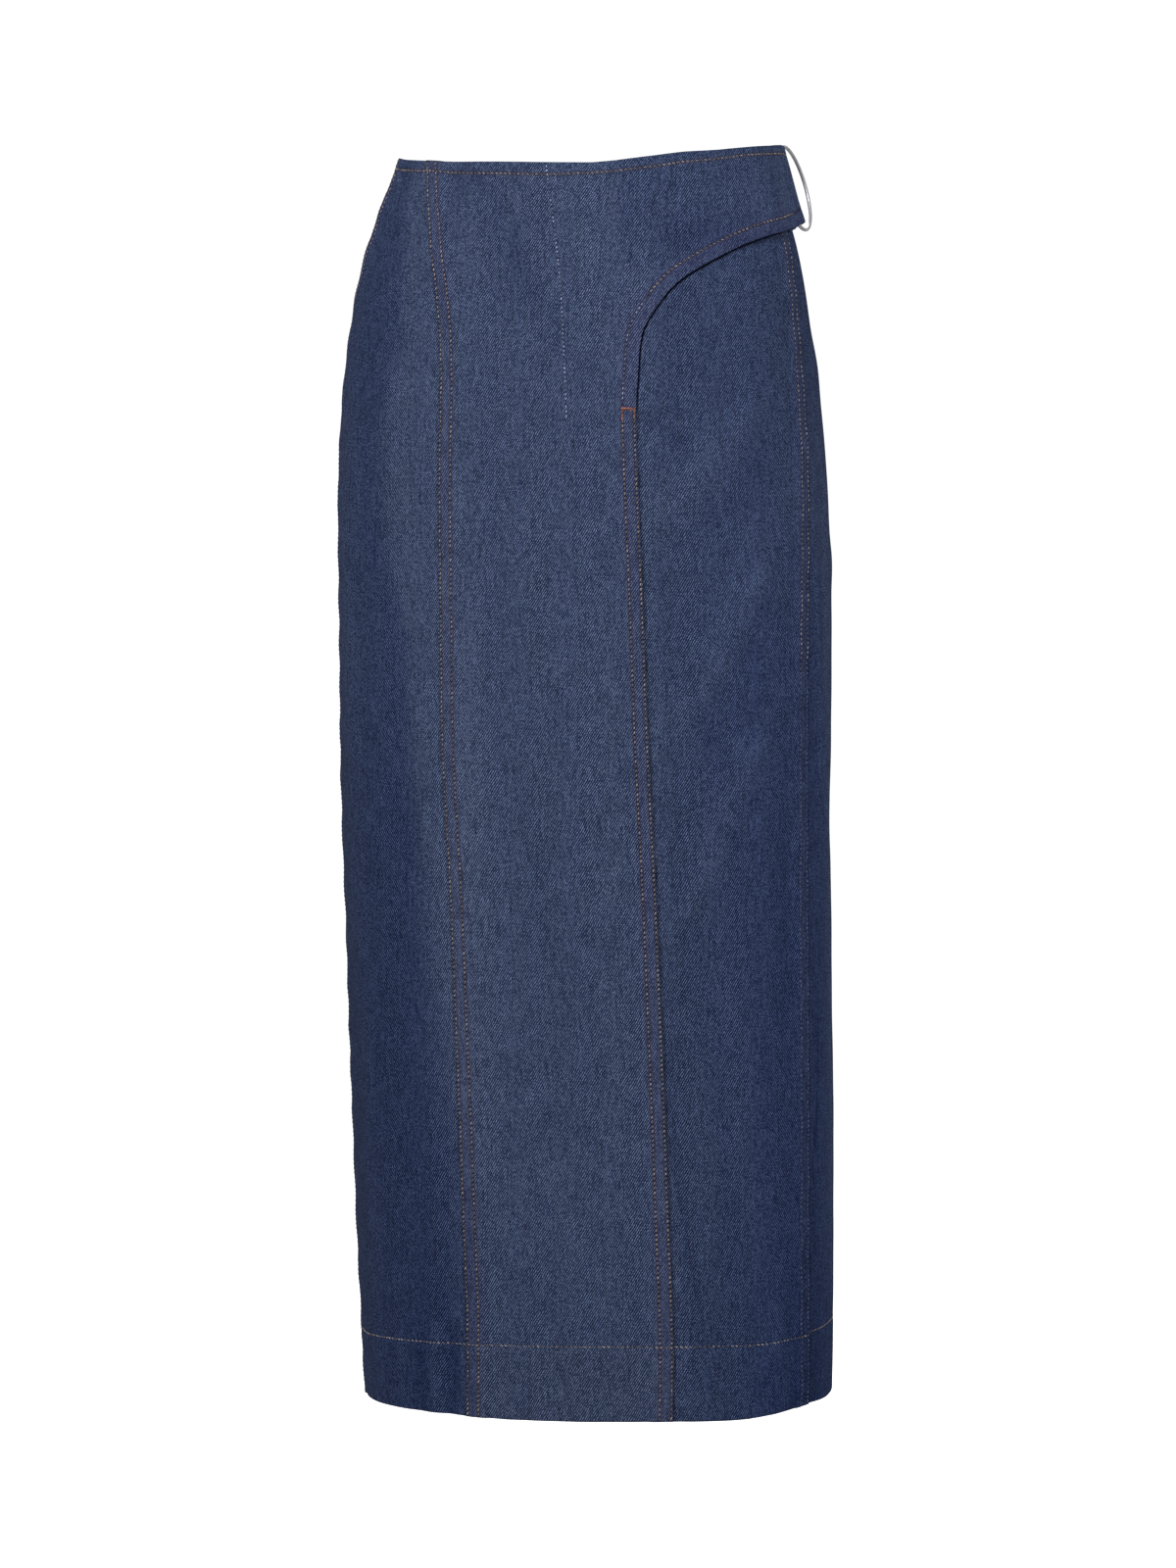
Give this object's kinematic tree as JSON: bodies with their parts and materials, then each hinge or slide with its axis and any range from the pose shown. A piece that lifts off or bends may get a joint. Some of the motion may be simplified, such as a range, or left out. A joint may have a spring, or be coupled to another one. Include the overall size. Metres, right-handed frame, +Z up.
{
  "type": "long denim skirt",
  "caption": "Long narrow denim skirt standing filled out, with panelled front, topstitched seams and a wrap flap turned back through an O-ring at the waist.",
  "frame": {"origin": "middle of the waist, at the height of the waist edge at the centre front, where the wearer holds the skirt up", "axes": "+Z up along the skirt, -Y towards the front, +X towards the side with the flap and the ring"},
  "size_m": [0.3411, 0.2514, 0.8635],
  "materials": {
    "denim": "dark indigo right-hand twill denim, dry and matt",
    "ring": "smooth bent wire, softly polished"
  },
  "bodies": {
    "root": {"centre_front": "denim", "side_front_left": "denim", "side_front_right": "denim", "back_left": "denim", "back_right": "denim", "ring": "ring"}
  },
  "joints": []
}
